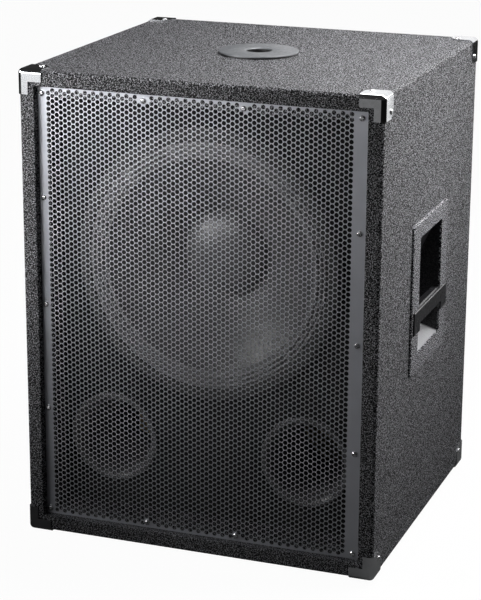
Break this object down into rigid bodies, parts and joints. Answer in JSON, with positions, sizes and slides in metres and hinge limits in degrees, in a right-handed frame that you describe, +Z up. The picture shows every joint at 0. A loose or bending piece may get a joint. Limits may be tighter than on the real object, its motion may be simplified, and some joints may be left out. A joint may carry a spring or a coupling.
{
  "type": "subwoofer cabinet",
  "caption": "Ported subwoofer cabinet with a large driver behind a perforated metal grille, recessed bar handles, metal corners and a pole socket on top.",
  "frame": {"origin": "on the floor under the middle of the cabinet", "axes": "+Z up; the grille faces -Y; +X is to the right seen from the front"},
  "size_m": [0.532, 0.4936, 0.691],
  "materials": {
    "textured_paint": "hard black textured paint with a fine speckle",
    "bare_plywood": "unpainted plywood",
    "grille_steel": "satin dark grey powder coat on perforated sheet",
    "screw_steel": "bright zinc plated",
    "corner_steel": "polished nickel plated",
    "socket_aluminium": "smooth cast grey",
    "moulded_plastic": "black moulded plastic",
    "basket_paint": "black painted steel",
    "gasket_rubber": "matt",
    "pleated_cloth": "doped pleated cloth",
    "cone_paper": "pressed black paper",
    "coil_copper": "copper wire on a former",
    "motor_steel": "zinc plated steel",
    "magnet_ferrite": "ground ferrite",
    "foot_rubber": "matt",
    "cable_rubber": "satin",
    "wadding_wool": "loose polyester wadding"
  },
  "bodies": {
    "root": {"back_panel": "textured_paint", "baffle_board": "textured_paint", "batten_bottom": "textured_paint", "batten_left": "textured_paint", "batten_right": "textured_paint", "batten_top": "textured_paint", "bottom_panel": "textured_paint", "connector_dish": "moulded_plastic", "corner_back_bottom_left": "corner_steel", "corner_back_bottom_right": "corner_steel", "corner_back_top_left": "corner_steel", "corner_back_top_right": "corner_steel", "corner_front_bottom_left": "corner_steel", "corner_front_bottom_right": "corner_steel", "corner_front_top_left": "corner_steel", "corner_front_top_right": "corner_steel", "driver_back_plate": "motor_steel", "driver_basket": "basket_paint", "driver_gasket": "gasket_rubber", "driver_magnet": "magnet_ferrite", "driver_spider": "pleated_cloth", "driver_surround": "pleated_cloth", "driver_top_plate": "motor_steel", "foot_back_left": "foot_rubber", "foot_back_right": "foot_rubber", "foot_front_left": "foot_rubber", "foot_front_right": "foot_rubber", "grille": "grille_steel", "grille_screw_1": "screw_steel", "grille_screw_10": "screw_steel", "grille_screw_11": "screw_steel", "grille_screw_12": "screw_steel", "grille_screw_13": "screw_steel", "grille_screw_14": "screw_steel", "grille_screw_2": "screw_steel", "grille_screw_3": "screw_steel", "grille_screw_4": "screw_steel", "grille_screw_5": "screw_steel", "grille_screw_6": "screw_steel", "grille_screw_7": "screw_steel", "grille_screw_8": "screw_steel", "grille_screw_9": "screw_steel", "handle_bar_left": "moulded_plastic", "handle_bar_right": "moulded_plastic", "handle_cup_left": "textured_paint", "handle_cup_right": "textured_paint", "left_panel": "textured_paint", "pole_socket": "socket_aluminium", "port_tube_left": "moulded_plastic", "port_tube_right": "moulded_plastic", "right_panel": "textured_paint", "speaker_cable": "cable_rubber", "speaker_socket_1": "moulded_plastic", "speaker_socket_2": "moulded_plastic", "top_panel": "textured_paint", "wadding": "wadding_wool", "window_brace": "bare_plywood"},
    "cone_assembly": {"driver_cone": "cone_paper", "driver_dust_cap": "cone_paper", "driver_voice_coil": "coil_copper"}
  },
  "joints": [
    {"name": "cone_travel", "type": "slide", "parent": "root", "child": "cone_assembly", "axis": [0, -1, 0], "range_m": [-0.008, 0.008], "stiffness_N_per_m": 4000, "deforming": ["driver_surround", "driver_spider"]}
  ]
}
